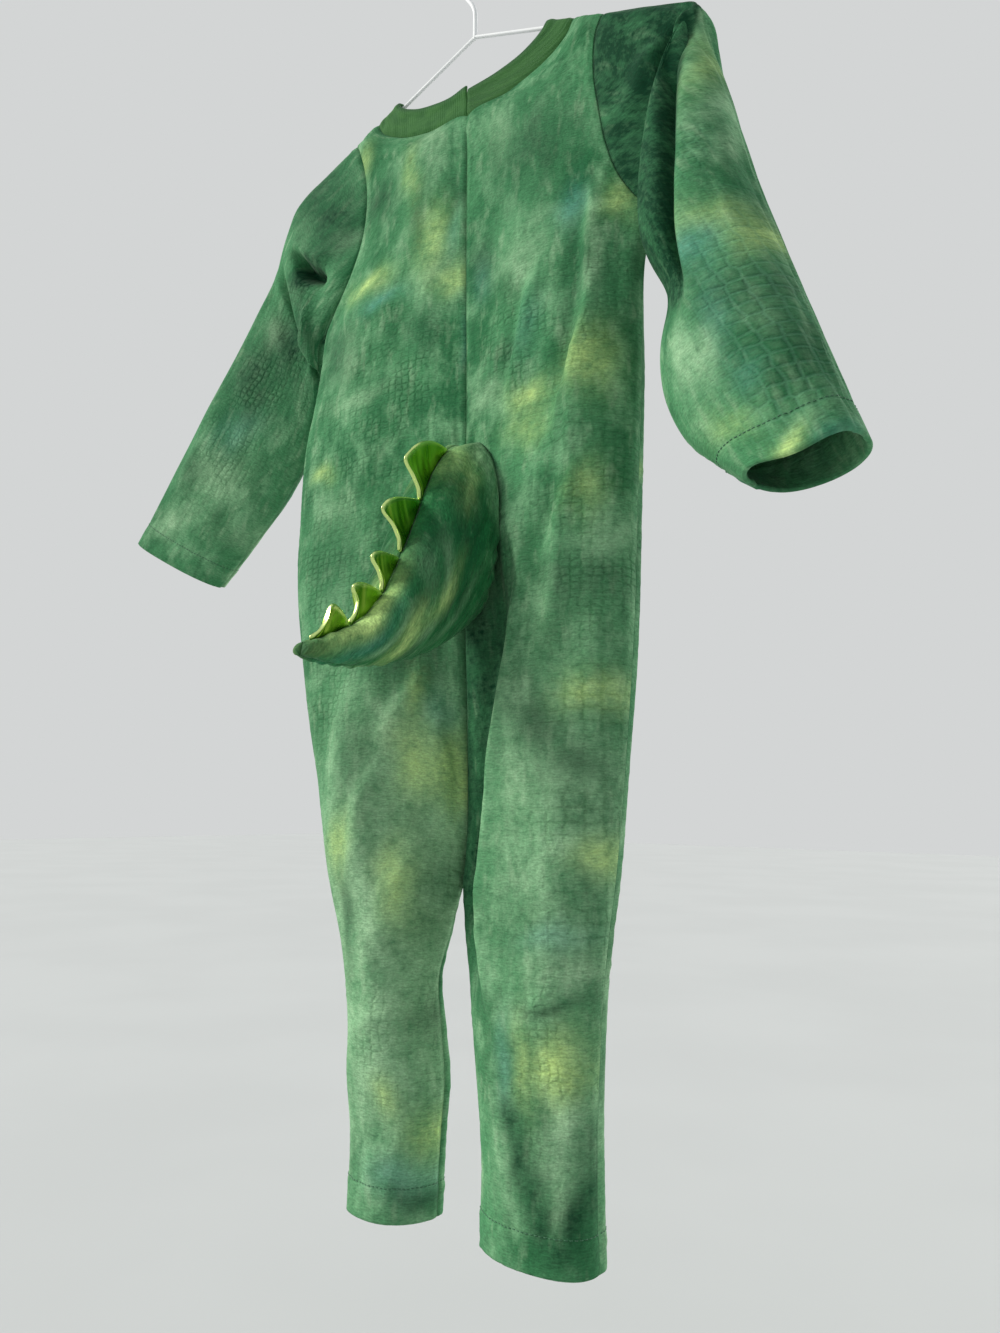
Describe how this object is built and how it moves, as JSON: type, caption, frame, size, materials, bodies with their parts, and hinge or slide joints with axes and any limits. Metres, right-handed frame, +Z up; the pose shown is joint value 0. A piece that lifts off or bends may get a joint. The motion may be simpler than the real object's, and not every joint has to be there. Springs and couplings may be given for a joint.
{
  "type": "t-rex costume on a wire hanger",
  "caption": "Child's dyed velour dinosaur costume with long sleeves and legs, a stuffed tail with metallic spikes and a back closure, hung flat on a white wire hanger.",
  "frame": {"origin": "inside top of the hanger's hook, where a rail or a wall hook carries the hanger", "axes": "+Z up, +X to the wearer's left, +Y to the back of the costume, where the tail is"},
  "size_m": [0.7603, 0.2041, 1.0279],
  "materials": {
    "cloth": "short-pile velour, tie-dyed in greens, with a soft crocodile-skin emboss",
    "band": "plain green knit",
    "lame": "metallic lime foil cloth",
    "zip": "woven zip tape",
    "wire": "white plastic-coated wire"
  },
  "bodies": {
    "root": {"back_left": "cloth", "back_right": "cloth", "front_left": "cloth", "front_right": "cloth", "sleeve_left": "cloth", "sleeve_right": "cloth", "tail_left": "cloth", "tail_right": "cloth", "neckband": "band", "zip": "zip", "spike_1": "lame", "spike_2": "lame", "spike_3": "lame", "spike_4": "lame", "spike_5": "lame", "hanger": "wire"}
  },
  "joints": []
}
